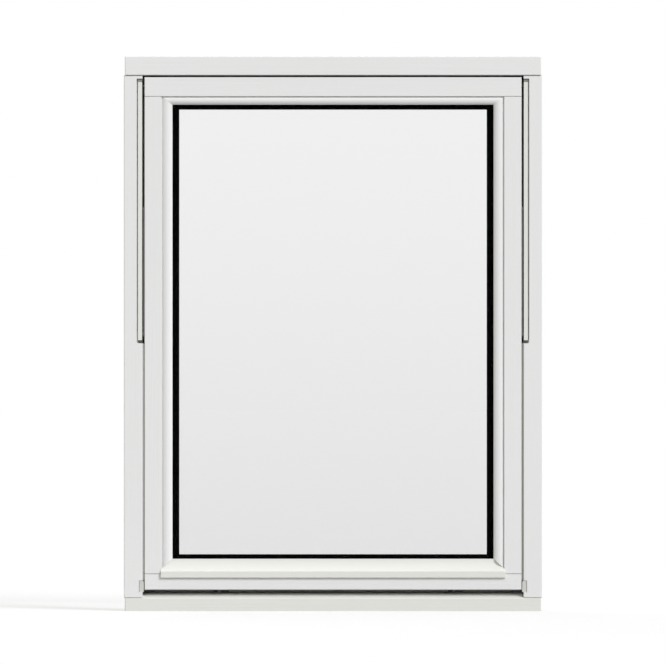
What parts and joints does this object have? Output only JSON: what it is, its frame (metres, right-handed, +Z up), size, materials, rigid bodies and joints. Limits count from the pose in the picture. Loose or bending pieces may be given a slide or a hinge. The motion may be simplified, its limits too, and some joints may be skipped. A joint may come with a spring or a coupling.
{
  "type": "pivot window",
  "caption": "White painted timber top-swing window: the sash swings out at its foot while its head slides down guide rails in the jambs; sealed glazing, link arms, lever handle.",
  "frame": {"origin": "centre of the sill's underside, halfway between the frame's outside and inside faces", "axes": "+Z up along the jambs, +Y from outside to inside, +X to the right seen from outside"},
  "size_m": [0.89, 0.1265, 1.18],
  "materials": {
    "painted_timber": "white satin paint",
    "rail_coat": "white powder coat",
    "zinc_steel": "zinc plated",
    "dark_steel": "dark coated steel",
    "buffer_grey": "matt",
    "strip_grey": "matt",
    "guide_plastic": "moulded",
    "shoe_plastic": "moulded",
    "seal_rubber": "matt",
    "spacer_black": "matt",
    "clear_glass": "clear",
    "handle_metal": "satin"
  },
  "bodies": {
    "frame": {"frame_head": "painted_timber", "frame_jamb_left": "painted_timber", "frame_jamb_right": "painted_timber", "frame_sill": "painted_timber", "frame_seal": "seal_rubber", "frame_corner_screws": "zinc_steel", "rail_left": "rail_coat", "rail_right": "rail_coat", "rail_screws": "zinc_steel", "rail_buffer_left": "buffer_grey", "rail_buffer_right": "buffer_grey", "side_strip_left": "strip_grey", "side_strip_right": "strip_grey", "frame_pivot_left": "zinc_steel", "frame_pivot_right": "zinc_steel", "friction_washer_left": "shoe_plastic", "friction_washer_right": "shoe_plastic", "guide_block_left": "guide_plastic", "guide_block_right": "guide_plastic", "keeper_left": "dark_steel", "keeper_right": "dark_steel", "keeper_screws": "dark_steel"},
    "arms": {"link_arm_left": "dark_steel", "link_arm_right": "dark_steel"},
    "sash": {"sash_top_rail": "painted_timber", "sash_stile_left": "painted_timber", "sash_stile_right": "painted_timber", "sash_bottom_rail": "painted_timber", "bead_top": "painted_timber", "bead_left": "painted_timber", "bead_right": "painted_timber", "drip_bead": "painted_timber", "glass_outer": "clear_glass", "glass_middle": "clear_glass", "glass_inner": "clear_glass", "spacer_outer": "spacer_black", "spacer_inner": "spacer_black", "edge_seal": "spacer_black", "outer_gasket": "seal_rubber", "inner_gasket": "seal_rubber", "setting_blocks": "shoe_plastic", "pivot_plate_left": "dark_steel", "pivot_plate_right": "dark_steel", "pivot_plate_screws": "dark_steel", "gearbox_case": "zinc_steel", "faceplate": "zinc_steel", "handle_rose": "handle_metal", "handle_screws": "zinc_steel"},
    "handle": {"handle_lever": "handle_metal", "spindle": "zinc_steel", "drive_gear": "zinc_steel"},
    "lock": {"lock_rod": "zinc_steel", "lock_pins": "dark_steel"},
    "shoes": {"shoe_left": "shoe_plastic", "shoe_right": "shoe_plastic"}
  },
  "joints": [
    {"name": "arm_swing", "type": "hinge", "parent": "frame", "child": "arms", "pos_m": [0, -0.038, 0.59065], "axis": [1, 0, 0], "range_deg": [0, 80]},
    {"name": "sash_turn", "type": "hinge", "parent": "arms", "child": "sash", "pos_m": [0, -0.038, 0.85433], "axis": [1, 0, 0], "range_deg": [-160, 0]},
    {"name": "shoe_turn", "type": "hinge", "parent": "sash", "child": "shoes", "pos_m": [0, -0.038, 1.118], "axis": [1, 0, 0], "range_deg": [0, 80]},
    {"name": "handle_turn", "type": "hinge", "parent": "sash", "child": "handle", "pos_m": [0, 0.0275, 0.076], "axis": [0, -1, 0], "range_deg": [0, 90]},
    {"name": "lock_slide", "type": "slide", "parent": "sash", "child": "lock", "axis": [1, 0, 0], "range_m": [0, 0.01885]}
  ],
  "couplings": [
    {"joint": "sash_turn", "follows": "arm_swing", "ratio": -2},
    {"joint": "shoe_turn", "follows": "arm_swing", "ratio": 1},
    {"joint": "lock_slide", "follows": "handle_turn", "m_per_rad": 0.012}
  ]
}
